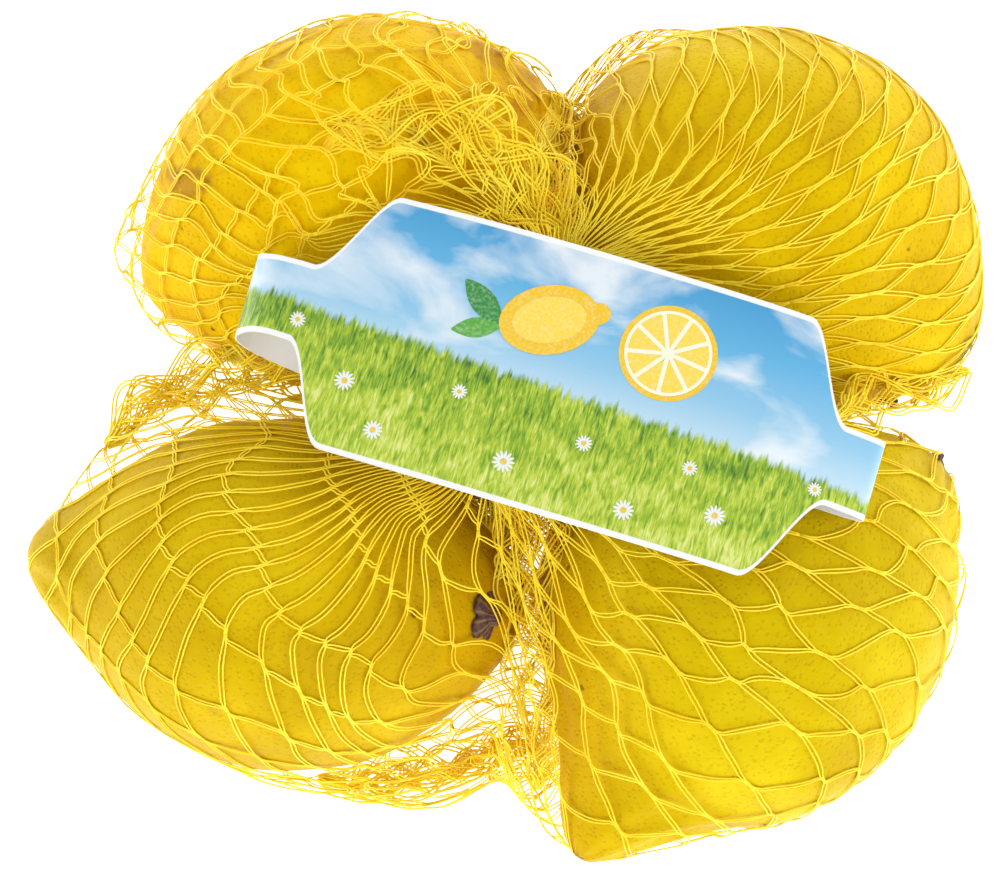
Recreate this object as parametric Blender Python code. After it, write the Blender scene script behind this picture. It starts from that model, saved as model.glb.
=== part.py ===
"""Four lemons in a knitted net bag, gathered at the middle through a printed band.

Run with: blender --background --python part.py

The filled bag is one closed solid: where the net is pulled over a lemon it takes the lemon's form, and
between a lemon and the places where the net is gathered it is taut, like the convex hull of the two. The
band is a second solid, a flat loop round the neck of the net. Lengths are in millimetres until a mesh is
made, which is in metres. X runs along the long side of the pack, Y across it, and Z is up from the table.
"""

import math

import bmesh
import bpy
import numpy as np

MM = 0.001

# Where the pack's own middle lies in the sketch that the places below were drawn in.
PACK_MIDDLE = np.array([1.70, 2.28, 0.0])

# Four lemons of 75 to 86 mm, each lying on its side. The heading is the way its nipple points, seen from
# above, and the tilt is how far the nipple points up. A lemon may be wider than it is high by a share, and
# bowed: its middle lies to one side of the line from nipple to stem.
LEMONS = {
    "back_left": dict(
        centre=(-24.5, 41.7, 29.6), heading=204.5, tilt=-4, half_length=34.3, radius=29.1,
        nipple=3.3, nipple_width=0.34, stem_neck=3.0, egg=0.02, wide=0.01, bow=0.8,
    ),
    "back_right": dict(
        centre=(44.8, 38.1, 32.3), heading=143, tilt=0, half_length=33.3, radius=32.0,
        nipple=2.5, nipple_width=0.34, stem_neck=6.0, egg=0.04, wide=-0.01, bow=2.5,
    ),
    "front_left": dict(
        centre=(-33.3, -23.5, 29.3), heading=173, tilt=-2, half_length=34.2, radius=29.0,
        nipple=8.4, nipple_width=0.40, stem_neck=3.0, egg=0.0, wide=-0.04, bow=2.1,
    ),
    "front_right": dict(
        centre=(43.7, -32.5, 29.3), heading=227.3, tilt=-2, half_length=32.9, radius=28.8,
        nipple=13.8, nipple_width=0.32, stem_neck=6.0, egg=-0.05, wide=0.13, bow=-7.5,
    ),
}
STEM_NECK_WIDTH = 0.45
LEMON_RINGS = 22
LEMON_SIDES = 26
NET_THICKNESS = 0.7

# Where the net of each lemon is drawn to besides the lemon: the neck in the middle of the pack, the bunched
# end of the back half, the seam of the front half on the table, and the slack corners that stand off.
NECK_BACK = [(6, 22, 55), (13, 21, 54), (7, 23, 45)]
NECK_FRONT = [(-4, -9, 54), (5, -11, 54), (-2, -8, 45)]
BACK_END = [(9, 58, 30), (9, 60, 16)]
DRAWN_TO = {
    "back_left": NECK_BACK + BACK_END + [(-61.5, 36, 33), (-62.5, 34, 24), (-57, 23, 20)],
    "back_right": NECK_BACK + BACK_END
    + [(15, 66, 22), (20.5, 70.0, 26), (28, 71.4, 27), (72.6, 5.6, 27), (73.4, 10, 33)],
    "front_left": NECK_FRONT
    + [(-59, 6, 22), (-48, 13, 26), (-35, -53.5, 5), (-24, -54.5, 3), (-8, -56, 2), (-1, -51, 2)],
    "front_right": NECK_FRONT + [(8.5, -62.5, 16), (9, -58, 3), (1, -51.5, 3), (0, -50, 7)],
}

# The neck of gathered net that passes through the band, and the bunched end lying between the back lemons.
NECK = dict(centre=(4, 7, 53), half_sizes=(12, 23, 5.2), turn=-18)
BUNCH = dict(centre=(7, 46, 40), half_sizes=(9, 14, 11), turn=0)

# The band: a plate with round shoulders on a strap that is closed into a flat loop. The loop is drawn along
# the band and up, with the plate's middle at zero, and the band is turned from X. The plate's back edge is
# lifted a little. At its left end the strap is shifted back a little, and the part that returns is tilted.
BAND_MIDDLE = (9.0, 0.0)
BAND_TURN = -17.5
BAND_THICKNESS = 0.4
PLATE_HALF_WIDTH = 20.7
STRAP_HALF_WIDTH = 6.3
SHOULDER_STARTS = (31.0, 33.4)
SHOULDER_ENDS = (41.0, 43.2)
EDGE_LIFT = 1.6
STRAP_SHIFT = 1.0
STRAP_TILT = 3.4
BAND_LOOP = [
    (-50.2, 51.6), (-49.0, 55.4), (-44.5, 58.2), (-34, 59.8), (-15, 60.8), (8, 61.2),
    (28, 61.2), (39, 60.2), (46.4, 58.6), (48.6, 57.7), (47.2, 56.9), (40, 57.0),
    (28, 56.0), (14, 50.8), (-4, 45.0), (-22, 45.3), (-36.5, 46.0), (-45.6, 47.8),
]
BAND_STEPS = 5
TUNNEL_GAP = 0.35

SHADE_ANGLE = math.radians(35)
TABLE_CUT = 20.0


def clear_scene():
    for old in list(bpy.data.objects):
        bpy.data.objects.remove(old, do_unlink=True)


def paint(name, colour, roughness):
    """A Principled material of one colour."""
    material = bpy.data.materials.new(name)
    material.use_nodes = True
    shader = material.node_tree.nodes["Principled BSDF"]
    shader.inputs["Base Color"].default_value = (*colour, 1.0)
    shader.inputs["Roughness"].default_value = roughness
    shader.inputs["Metallic"].default_value = 0.0
    return material


def place(points):
    """Points of the sketch, in millimetres, as points of the part, in metres."""
    return (np.asarray(points, float) - PACK_MIDDLE) * MM


def add_object(name, mesh, collection=None):
    mesh.update()
    made = bpy.data.objects.new(name, mesh)
    (collection or bpy.context.scene.collection).objects.link(made)
    return made


def hide_helper(helper):
    helper.hide_render = True
    helper.display_type = "WIRE"


def lemon_points(
    centre, heading, tilt, half_length, radius, nipple, nipple_width, stem_neck, egg, wide=0.0, bow=0.0
):
    """Points all over a lemon with the net on it.

    The angle runs from the nipple to the stem. The length follows its cosine, pushed out by a bell at the
    nipple and a wider one at the stem, and the girth follows its sine, a little slimmer on the nipple's side.
    The girth may be wider sideways than up, and each ring is pushed sideways by the bow in step with it.
    """
    angle = np.linspace(0, math.pi, LEMON_RINGS)[:, None]
    turn = np.linspace(0, 2 * math.pi, LEMON_SIDES, endpoint=False)[None, :]
    along = half_length * np.cos(angle)
    along = along + nipple * np.exp(-((angle / nipple_width) ** 2))
    along = along - stem_neck * np.exp(-(((math.pi - angle) / STEM_NECK_WIDTH) ** 2))
    girth = radius * np.sin(angle) * (1 - egg * np.cos(angle)) + NET_THICKNESS
    across, up = girth * ((1 + wide) * np.cos(turn) + bow / radius), girth * np.sin(turn)

    yaw, pitch = math.radians(heading), math.radians(tilt)
    axis = np.array([math.cos(yaw) * math.cos(pitch), math.sin(yaw) * math.cos(pitch), math.sin(pitch)])
    side = np.array([-math.sin(yaw), math.cos(yaw), 0.0])
    top = np.cross(axis, side)
    shape = along[..., None] * axis + across[..., None] * side + up[..., None] * top
    return shape.reshape(-1, 3) + np.array(centre)


def taut_hull(name, points, collection):
    """The solid that a taut net makes over these points: their convex hull."""
    form = bmesh.new()
    for point in place(points):
        form.verts.new(point)
    made = bmesh.ops.convex_hull(form, input=form.verts[:])
    inside = {item for item in made["geom_interior"] + made["geom_unused"] if isinstance(item, bmesh.types.BMVert)}
    bmesh.ops.delete(form, geom=list(inside), context="VERTS")
    bmesh.ops.recalc_face_normals(form, faces=form.faces[:])
    mesh = bpy.data.meshes.new(name)
    form.to_mesh(mesh)
    form.free()
    return add_object(name, mesh, collection)


def bundle(name, centre, half_sizes, turn, collection):
    """A rounded bundle of gathered net: a ball stretched along three axes and turned about Z."""
    form = bmesh.new()
    bmesh.ops.create_icosphere(form, subdivisions=3, radius=1.0)
    yaw = math.radians(turn)
    cos, sin = math.cos(yaw), math.sin(yaw)
    for vert in form.verts:
        x, y, z = (size * part for size, part in zip(half_sizes, vert.co))
        spot = np.array(centre) + (cos * x - sin * y, sin * x + cos * y, z)
        vert.co = place(spot)
    mesh = bpy.data.meshes.new(name)
    form.to_mesh(mesh)
    form.free()
    return add_object(name, mesh, collection)


def join_solids(name, collection):
    """One Boolean union of the collection's solids, applied, with the solids then removed."""
    pieces = list(collection.objects)
    base = pieces[0]
    collection.objects.unlink(base)
    bpy.context.scene.collection.objects.link(base)
    union = base.modifiers.new("union", "BOOLEAN")
    union.operation = "UNION"
    union.operand_type = "COLLECTION"
    union.collection = collection
    union.solver = "EXACT"
    graph = bpy.context.evaluated_depsgraph_get()
    joined = bpy.data.meshes.new_from_object(base.evaluated_get(graph))
    for piece in pieces:
        bpy.data.objects.remove(piece, do_unlink=True)
    bpy.data.collections.remove(collection)
    joined.name = name
    return add_object(name, joined)


def cut_away(body, cutter, label):
    hide_helper(cutter)
    cut = body.modifiers.new(label, "BOOLEAN")
    cut.operation = "DIFFERENCE"
    cut.object = cutter
    cut.solver = "EXACT"


def table_cutter():
    """A block under the table, which gives each lemon the small flat that it rests on."""
    form = bmesh.new()
    bmesh.ops.create_cube(form, size=1.0)
    for vert in form.verts:
        vert.co = (vert.co.x * 0.3, vert.co.y * 0.3, (vert.co.z - 0.5) * TABLE_CUT * MM)
    mesh = bpy.data.meshes.new("table_cutter")
    form.to_mesh(mesh)
    form.free()
    return add_object("table_cutter", mesh)


def closed_spline(knots, steps):
    """A Catmull-Rom curve through the knots of a closed loop, with this many points from knot to knot."""
    knots = np.array(knots, float)
    before, after, later = np.roll(knots, 1, 0), np.roll(knots, -1, 0), np.roll(knots, -2, 0)
    share = np.linspace(0, 1, steps, endpoint=False)[None, :, None]
    k0, k1, k2, k3 = (k[:, None, :] for k in (before, knots, after, later))
    curve = 0.5 * (
        2 * k1
        + (k2 - k0) * share
        + (2 * k0 - 5 * k1 + 4 * k2 - k3) * share**2
        + (3 * k1 - k0 - 3 * k2 + k3) * share**3
    )
    return curve.reshape(-1, 2)


def smooth_step(share):
    share = np.clip(share, 0, 1)
    return share * share * (3 - 2 * share)


def band_half_width(distance):
    """Half the band's width at a distance along it from the plate's middle: plate, S-shaped shoulder, strap."""
    start = np.where(distance < 0, SHOULDER_STARTS[0], SHOULDER_STARTS[1])
    end = np.where(distance < 0, SHOULDER_ENDS[0], SHOULDER_ENDS[1])
    return PLATE_HALF_WIDTH + (STRAP_HALF_WIDTH - PLATE_HALF_WIDTH) * smooth_step(
        (np.abs(distance) - start) / (end - start)
    )


def band_loop(name, thickness, edge):
    """The band as a closed loop with square edges: four rails along its loop, joined by faces.

    With an edge, every side is that much further out, which makes the tunnel that the band lies in.
    """
    loop = closed_spline(BAND_LOOP, BAND_STEPS)
    step = np.linalg.norm(np.roll(loop, -1, 0) - loop, axis=1)
    length = step.sum()
    distance = np.concatenate([[0], np.cumsum(step)[:-1]])
    plate_middle = distance[np.argmin(np.abs(loop[:, 0]) + np.where(loop[:, 1] > 57, 0, 1000))]
    distance = (distance - plate_middle + length / 2) % length - length / 2

    heading = np.roll(loop, -1, 0) - np.roll(loop, 1, 0)
    heading /= np.linalg.norm(heading, axis=1)[:, None]
    outward = np.stack([-heading[:, 1], heading[:, 0]], axis=1)
    half_width = band_half_width(distance)
    shift = STRAP_SHIFT * smooth_step((-loop[:, 0] - 30) / 18)
    returning = np.clip((58 - loop[:, 1]) / 8, 0, 1) * np.clip((-loop[:, 0] - 12) / 20, 0, 1)
    on_top = np.clip(1 - (distance / 40) ** 2, 0, 1)

    yaw = math.radians(BAND_TURN)
    along = np.array([math.cos(yaw), math.sin(yaw)])
    across = np.array([-math.sin(yaw), math.cos(yaw)])

    def rail(side, layer):
        spot = loop + outward * layer
        width = side * half_width
        lift = EDGE_LIFT * np.clip(width / PLATE_HALF_WIDTH, 0, 1) ** 2 * on_top
        tilt = STRAP_TILT * returning * width / STRAP_HALF_WIDTH
        offset = width + side * edge + shift
        flat = np.array(BAND_MIDDLE) + spot[:, :1] * along + offset[:, None] * across
        return np.column_stack([flat, spot[:, 1] + lift + tilt])

    rails = [rail(-1, thickness + edge), rail(1, thickness + edge), rail(1, -edge), rail(-1, -edge)]
    points = place(np.concatenate(rails))
    count = len(loop)
    faces = []
    for side in range(4):
        here, there = side * count, ((side + 1) % 4) * count
        for i in range(count):
            j = (i + 1) % count
            faces.append((here + i, here + j, there + j, there + i))
    mesh = bpy.data.meshes.new(name)
    mesh.from_pydata(points.tolist(), [], faces)
    form = bmesh.new()
    form.from_mesh(mesh)
    bmesh.ops.recalc_face_normals(form, faces=form.faces[:])
    form.to_mesh(mesh)
    form.free()
    return add_object(name, mesh)


def finish_object(made, material):
    made.data.materials.clear()
    made.data.materials.append(material)
    made.data.shade_smooth()
    made.data.set_sharp_from_angle(angle=SHADE_ANGLE)


def main():
    clear_scene()
    pieces = bpy.data.collections.new("net_pieces")
    bpy.context.scene.collection.children.link(pieces)
    for name, lemon in LEMONS.items():
        points = np.concatenate([lemon_points(**lemon), np.array(DRAWN_TO[name], float)])
        taut_hull("net_over_" + name, points, pieces)
    bundle("net_neck", collection=pieces, **NECK)
    bundle("net_bunch", collection=pieces, **BUNCH)

    net = join_solids("net", pieces)
    cut_away(net, table_cutter(), "table")
    tunnel = band_loop("band_tunnel", BAND_THICKNESS, TUNNEL_GAP)
    cut_away(net, tunnel, "tunnel")
    finish_object(net, paint("yellow_net_and_lemons", (0.86, 0.62, 0.02), 0.5))

    band = band_loop("label_band", BAND_THICKNESS, 0.0)
    finish_object(band, paint("printed_band", (0.45, 0.68, 0.85), 0.35))


main()
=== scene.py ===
"""The looks of a pack of four lemons in a yellow knitted net, gathered at the middle through a printed band.

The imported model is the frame: its solid `net` gives way here to four lemons and the knitted net over them,
and its solid `label_band` to the same band in a fine mesh with its print. Places are written in the sketch
that the pack was drawn in, in millimetres, and `place` turns them into metres in the frame.
"""

import math

import bpy
import numpy as np
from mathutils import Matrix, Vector


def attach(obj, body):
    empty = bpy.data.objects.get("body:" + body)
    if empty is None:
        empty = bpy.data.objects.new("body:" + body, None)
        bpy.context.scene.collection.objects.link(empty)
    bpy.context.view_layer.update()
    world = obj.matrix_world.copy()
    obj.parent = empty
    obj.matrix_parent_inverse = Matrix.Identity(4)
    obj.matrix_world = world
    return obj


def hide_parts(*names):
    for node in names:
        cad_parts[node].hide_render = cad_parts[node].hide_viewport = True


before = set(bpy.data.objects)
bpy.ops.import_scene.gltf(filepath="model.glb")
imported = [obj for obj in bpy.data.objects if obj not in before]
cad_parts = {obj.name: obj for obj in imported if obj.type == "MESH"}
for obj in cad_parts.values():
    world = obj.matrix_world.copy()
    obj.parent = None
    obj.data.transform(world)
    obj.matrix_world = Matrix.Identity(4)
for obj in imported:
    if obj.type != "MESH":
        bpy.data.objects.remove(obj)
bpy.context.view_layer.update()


# The view: from the front of the pack and well above it, as one looks down at a table, through a short
# telephoto lens. The colours are shown as they are, with no film curve, so that white stays white.
MM = 0.001
PACK_MIDDLE = np.array([1.70, 2.28, 0.0])
VIEW_HEIGHT = math.radians(74)
VIEW_DISTANCE = 382.0
VIEW_TARGET = (0.0, 0.0, 30.0)
LENS = 85


def place(points):
    """Points of the sketch, in millimetres, as points of the frame, in metres."""
    return (np.asarray(points, float) - PACK_MIDDLE) * MM


camera_data = bpy.data.cameras.new("camera")
camera_data.lens = LENS
camera_data.sensor_width = 36
camera_data.clip_start = 0.01
camera = bpy.data.objects.new("camera", camera_data)
bpy.context.scene.collection.objects.link(camera)
towards_camera = np.array([0.0, -math.cos(VIEW_HEIGHT), math.sin(VIEW_HEIGHT)])
camera.location = place(np.array(VIEW_TARGET) + VIEW_DISTANCE * towards_camera)
camera.rotation_euler = Vector(-towards_camera).to_track_quat("-Z", "Y").to_euler()
bpy.context.scene.camera = camera
bpy.context.scene.view_settings.view_transform = "Standard"


# The lemons: ripe fruit with waxy peel, each lying on its side, with a blunt nipple at one end and a low
# neck at the stem. Each is a profile turned round its own axis, bowed a little, then swollen, creased and
# pitted.
LEMONS = {
    "back_left": dict(
        centre=(-24.5, 41.7, 29.6), heading=204.5, tilt=-4, half_length=34.3, radius=29.1,
        nipple=3.3, nipple_width=0.34, stem_neck=3.0, egg=0.02, wide=0.01, bow=0.8,
    ),
    "back_right": dict(
        centre=(44.8, 38.1, 32.3), heading=143, tilt=0, half_length=33.3, radius=32.0,
        nipple=2.5, nipple_width=0.34, stem_neck=6.0, egg=0.04, wide=-0.01, bow=2.5,
    ),
    "front_left": dict(
        centre=(-33.3, -23.5, 29.3), heading=173, tilt=-2, half_length=34.2, radius=29.0,
        nipple=8.4, nipple_width=0.40, stem_neck=3.0, egg=0.0, wide=-0.04, bow=2.1,
    ),
    "front_right": dict(
        centre=(43.7, -32.5, 29.3), heading=227.3, tilt=-2, half_length=32.9, radius=28.8,
        nipple=13.8, nipple_width=0.32, stem_neck=6.0, egg=-0.05, wide=0.13, bow=-7.5,
    ),
}
STEM_NECK_WIDTH = 0.45
LEMON_RINGS, LEMON_SIDES = 150, 220
LUMP_SIZE, LUMP_HEIGHT = 17.0, 0.28
DIMPLE_SIZE, DIMPLE_DEPTH = 2.6, 0.035
CREASES, CREASE_DEPTH = 9, 0.45
PORE_PITCH, MARK_PITCH = 0.85, 8.5
PEEL_RELIEF = 0.16
# The painted warm shade in the gap at the pack's middle: the gap's place along x and up, its width, and how
# strong the shade is.
GAP_X, GAP_Z, GAP_WIDTH, GAP_PAINTED_SHADE = 4.0, 36.0, 15.0, 0.4
# Each lemon's own peel: its darker, middle and lighter yellow, how many dark specks it has, how rare its
# russet scars are, and where its noise starts.
PEELS = {
    "back_left": dict(shades=("#DDB200", "#E9C000", "#F2CD08"), marks=0.62, russet=0.60, start=3.1),
    "back_right": dict(shades=("#CFA904", "#DDBA04", "#E9CA10"), marks=0.40, russet=0.72, start=7.7),
    "front_left": dict(shades=("#BE9C06", "#CBAA06", "#D9BA10"), marks=0.42, russet=0.68, start=1.3),
    "front_right": dict(shades=("#C4A508", "#D1B606", "#DEC614"), marks=0.36, russet=0.74, start=5.9),
}


def soft_noise(points, size, seed):
    """A smooth random field between about -1 and 1: the mean of 18 sine waves of about this wavelength, each
    running its own way, taken at every point."""
    draw = np.random.default_rng(seed)
    ways = draw.normal(size=(18, points.shape[-1]))
    ways *= draw.uniform(0.6, 1.4, (18, 1)) / np.linalg.norm(ways, axis=1)[:, None]
    starts = draw.uniform(0, 2 * math.pi, 18)
    return np.sin(points @ ways.T * (2 * math.pi / size) + starts).sum(-1) / 4.2


def bell(offset, width):
    """A bell curve: 1 at an offset of 0, and about a third where the offset is the width."""
    return np.exp(-((offset / width) ** 2))


def unit(vectors):
    """The same vectors at a length of 1."""
    return vectors / np.maximum(np.linalg.norm(vectors, axis=-1, keepdims=True), 1e-9)


def span(axes, *amounts):
    """The points that lie at these amounts along their axes, one amount to an axis."""
    return sum(np.asarray(amount)[..., None] * axis for axis, amount in zip(axes, amounts))


def lemon_profile(angle, half_length, radius, nipple, nipple_width, stem_neck, egg, **_):
    """Distance along a lemon's axis and girth round it, at an angle from its nipple. The length follows the
    cosine, pushed out by a bell at the nipple and one at the stem, and the girth follows the sine."""
    along = half_length * np.cos(angle) + nipple * bell(angle, nipple_width)
    along = along - stem_neck * bell(math.pi - angle, STEM_NECK_WIDTH)
    return along, radius * np.sin(angle) * (1 - egg * np.cos(angle))


def lemon_axes(heading, tilt, **_):
    """Three unit vectors of a lemon: along its axis to the nipple, sideways, and up."""
    yaw, pitch = math.radians(heading), math.radians(tilt)
    axis = np.array([math.cos(yaw) * math.cos(pitch), math.sin(yaw) * math.cos(pitch), math.sin(pitch)])
    side = np.array([-math.sin(yaw), math.cos(yaw), 0.0])
    return axis, side, np.cross(axis, side)


def grid_quads(index):
    """The quads between the point numbers of a grid, each facing along rows x columns."""
    corners = index[..., :-1, :-1], index[..., :-1, 1:], index[..., 1:, 1:], index[..., 1:, :-1]
    return np.stack(corners, -1).reshape(-1, 4).tolist()


def new_mesh(name, points, faces):
    """A smooth mesh of these faces between points of the sketch."""
    mesh = bpy.data.meshes.new(name)
    mesh.from_pydata(place(points).reshape(-1, 3).tolist(), [], faces)
    mesh.shade_smooth()
    return mesh


def closed_mesh(name, points):
    """A mesh from a grid of points whose rows are rings, with a cap on the first ring and on the last."""
    rows, columns = points.shape[:2]
    index = np.arange(rows * columns).reshape(rows, columns)
    caps = [index[0, ::-1].tolist(), index[-1].tolist()]
    return new_mesh(name, points, grid_quads(np.column_stack([index, index[:, 0]])) + caps)


def set_values(mesh, name, values):
    """Gives each point of a mesh a value, which its finish reads by this name."""
    mesh.attributes.new(name, "FLOAT", "POINT").data.foreach_set("value", values.astype(float).ravel())


def add_piece(name, mesh, material, replaced):
    """Puts a finished mesh in the scene as a piece that rides on the pack in place of one of its solids."""
    piece = bpy.data.objects.new(name, mesh)
    bpy.context.scene.collection.objects.link(piece)
    mesh.materials.append(material)
    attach(piece, "root")
    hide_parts(replaced)


def colour(hex_code):
    """An sRGB hex colour as the linear colour that a shader takes."""
    parts = [int(hex_code[i : i + 2], 16) / 255 for i in (1, 3, 5)]
    return (*[p / 12.92 if p <= 0.04045 else ((p + 0.055) / 1.055) ** 2.4 for p in parts], 1.0)


def add_node(tree, kind, inputs=None, out=None, stops=(), **settings):
    """Adds a node with its properties, its colour stops, and its inputs, by name or number, as values or
    links. It gives back the output of that name, or the first that the node shows."""
    made = tree.nodes.new(kind)
    for name, value in settings.items():
        setattr(made, name, value)
    for count, (position, tint) in enumerate(stops):
        bar = made.color_ramp.elements
        element = bar[count] if count < len(bar) else bar.new(position)
        element.position, element.color = position, colour(tint)
    for name, value in (inputs or {}).items():
        socket = next(s for n, s in enumerate(made.inputs) if s.enabled and name in (n, s.name))
        if isinstance(value, bpy.types.NodeSocket):
            tree.links.new(value, socket)
        else:
            socket.default_value = value
    return next(s for s in made.outputs if s.enabled and out in (None, s.name))


def new_finish(name, **settings):
    """A material, its node tree and its Principled shader, whose named sockets are set."""
    material = bpy.data.materials.new(name)
    material.use_nodes = True
    shader = material.node_tree.nodes["Principled BSDF"]
    for socket, value in settings.items():
        shader.inputs[socket.replace("_", " ")].default_value = value
    return material, material.node_tree, shader


def carried(tree, name, out="Fac"):
    """The value of this name that the points of the mesh carry."""
    return add_node(tree, "ShaderNodeAttribute", attribute_name=name, out=out)


def noise(tree, where, size, detail):
    """Cloudy noise in patches of about this many millimetres."""
    inputs = {"Vector": where, "Scale": 1 / (size * MM), "Detail": detail}
    return add_node(tree, "ShaderNodeTexNoise", inputs)


def reckon(tree, operation, *values):
    """A sum, product or test of values, each a number or another node's output."""
    return add_node(tree, "ShaderNodeMath", dict(enumerate(values)), operation=operation)


def ramp(tree, value, low, high, at_low=0.0, at_high=1.0):
    """A value that goes from at_low to at_high while the one given goes from low to high."""
    inputs = {"Value": value, "From Min": low, "From Max": high, "To Min": at_low, "To Max": at_high}
    return add_node(tree, "ShaderNodeMapRange", inputs)


def blend(tree, share, *pair):
    """A mix of two colours, each a hex code or another node's output, by the share of the second."""
    first, second = (colour(side) if isinstance(side, str) else side for side in pair)
    return add_node(tree, "ShaderNodeMix", {"Factor": share, "A": first, "B": second}, data_type="RGBA")


def tints(tree, value, *stops):
    """A colour that runs through these stops as the value rises."""
    return add_node(tree, "ShaderNodeValToRGB", {"Fac": value}, stops=stops)


def finish_with(shader, tint, height, strength, depth, coated=False):
    """Gives a shader its colour, and a fine relief that follows a height, of this depth in millimetres."""
    tree = shader.id_data
    tree.links.new(tint, shader.inputs["Base Color"])
    inputs = {"Height": height, "Strength": strength, "Distance": depth * MM}
    bump = add_node(tree, "ShaderNodeBump", inputs)
    for socket in ("Normal", "Coat Normal")[: 1 + coated]:
        tree.links.new(bump, shader.inputs[socket])


def lemon_form(angle, turn, grow=0.0, **lemon):
    """Points on a lemon's plain form: along its axis by the profile, and round it by the girth, which may be
    wider sideways than up, with each ring pushed sideways by the bow in step with its girth."""
    along, girth = lemon_profile(angle, **lemon)
    girth = girth + grow
    across = girth * ((1 + lemon["wide"]) * np.cos(turn) + lemon["bow"] / lemon["radius"])
    return span(lemon_axes(**lemon), along + 0 * turn, across, girth * np.sin(turn)) + lemon["centre"]


def lemon_peel(name, shades, marks, russet, start):
    """Waxed lemon peel: a bright yellow skin with a faint gloss, pitted by oil glands a millimetre apart,
    each a little darker than the skin, with a few dark specks, and russet scars where it rubbed on a twig.
    It is browner at its ends. In the gap at the middle it carries a painted warm shade, darker and more
    orange, that stands in for the light the other peels bounce there."""
    material, tree, shader = new_finish(
        name, Roughness=0.5, IOR=1.45, Specular_IOR_Level=0.06, Specular_Tint=(1.0, 0.72, 0.12, 1.0),
        Coat_Weight=0.05, Coat_Roughness=0.2, Coat_IOR=1.35,
    )
    where = add_node(tree, "ShaderNodeTexCoord", out="Object")
    moved = {"Vector": where, "Location": (start, start * 0.7, start * 1.3)}
    spot = add_node(tree, "ShaderNodeMapping", moved)

    skin = tints(tree, noise(tree, spot, 19, 3.0), *zip((0.30, 0.52, 0.74), shades))
    pores = {"Vector": spot, "Scale": 1 / (PORE_PITCH * MM)}
    in_pore = ramp(tree, add_node(tree, "ShaderNodeTexVoronoi", pores), 0.10, 0.42, 1.0, 0.0)
    dotted = blend(tree, reckon(tree, "MULTIPLY", in_pore, 0.17), skin, "#B48400")

    # Specks with a ragged edge, in the cells whose own random number is under the share of marks.
    cells = {"Vector": spot, "Scale": 1 / (MARK_PITCH * MM)}
    drawn = add_node(tree, "ShaderNodeTexVoronoi", cells, out="Color")
    drawn = add_node(tree, "ShaderNodeSeparateColor", {"Color": drawn})
    from_middle = add_node(tree, "ShaderNodeTexVoronoi", cells)
    edge = reckon(tree, "MULTIPLY_ADD", noise(tree, spot, 1.1, 2.0), 0.14, from_middle)
    in_mark = ramp(tree, edge, 0.11, 0.15, 0.85, 0.0)
    marked = reckon(tree, "MULTIPLY", in_mark, reckon(tree, "LESS_THAN", drawn, marks))
    speckled = blend(tree, marked, dotted, "#5B4310")

    in_scar = ramp(tree, noise(tree, spot, 13, 6.0), russet, russet + 0.06, 0.0, 0.62)
    scarred = blend(tree, in_scar, speckled, "#A8742C")
    whole = blend(tree, carried(tree, "ends"), scarred, "#6E5A16")
    # Painted shade: the peel turns darker and more orange in the gap at the middle, in place of light
    # bounced between the peels.
    gap_shaded = blend(tree, carried(tree, "painted_gap_shade"), whole, "#D0920A")
    relief = reckon(tree, "SUBTRACT", noise(tree, spot, DIMPLE_SIZE, 4.0), in_pore)
    finish_with(shader, gap_shaded, relief, 0.7, PEEL_RELIEF, coated=True)
    return material


def lemon_swell(name, angle, turn):
    """How far a lemon's skin stands off its plain profile at an angle and a turn: soft lumps, finer dimples,
    and creases that run along it near the nipple and the stem."""
    seed = 10 * list(LEMONS).index(name)
    along, girth = lemon_profile(angle, **LEMONS[name])
    form = np.stack([along + 0 * turn, girth * np.cos(turn), girth * np.sin(turn)], -1)
    near_nipple, near_stem = bell(angle - 0.42, 0.30), bell(math.pi - angle - 0.30, 0.26)
    creases = np.cos(CREASES * turn + 1.6 * soft_noise(form, 40, seed))
    creases = creases * (0.55 + 0.45 * soft_noise(form, 23, seed + 1))
    swell = LUMP_HEIGHT * soft_noise(form, LUMP_SIZE, seed + 2) * np.sin(angle) ** 0.5
    swell = swell - CREASE_DEPTH * creases * (near_nipple + 1.1 * near_stem)
    return swell + DIMPLE_DEPTH * soft_noise(form, DIMPLE_SIZE, seed + 3)


for name, lemon in LEMONS.items():
    angle = np.linspace(0.012, math.pi - 0.012, LEMON_RINGS)[:, None]
    turn = np.linspace(0, 2 * math.pi, LEMON_SIDES, endpoint=False)[None, :]
    axis, side, top = lemon_axes(**lemon)
    out = span((side, top), np.cos(turn), np.sin(turn))
    swell = lemon_swell(name, angle, turn)[..., None] * span((axis, out), np.cos(angle), np.sin(angle))
    form = lemon_form(angle, turn, **lemon) + swell

    mesh = closed_mesh("lemon_" + name, form)
    tips = bell(angle, 0.045) + 0.8 * bell(math.pi - angle, 0.16)
    set_values(mesh, "ends", np.clip(tips, 0, 1) + 0 * turn)
    # Painted shade: how far each point is turned darker and more orange, the nearer it lies to the gap at
    # the pack's middle.
    from_gap = np.hypot(form[..., 0] - GAP_X, 0.5 * (form[..., 2] - GAP_Z))
    set_values(mesh, "painted_gap_shade", GAP_PAINTED_SHADE * bell(from_gap, GAP_WIDTH))
    peel = lemon_peel("waxed_peel_" + name, **PEELS[name])
    add_piece("lemon_" + name, mesh, peel, "net")


# The stem ends: the dry calyx that stays on each lemon where it was cut from its twig, a small brown star
# of five blunt lobes round the stump of the stalk.
CALYXES = {
    "back_left": dict(size=2.6, offset=0.0, turned=0.0),
    "back_right": dict(size=3.0, offset=0.40, turned=-0.3),
    "front_left": dict(size=4.6, offset=0.40, turned=1.25),
    "front_right": dict(size=2.6, offset=0.0, turned=0.0),
}
CALYX_RINGS, CALYX_SIDES, CALYX_THICKNESS = 22, 60, 0.5


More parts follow.
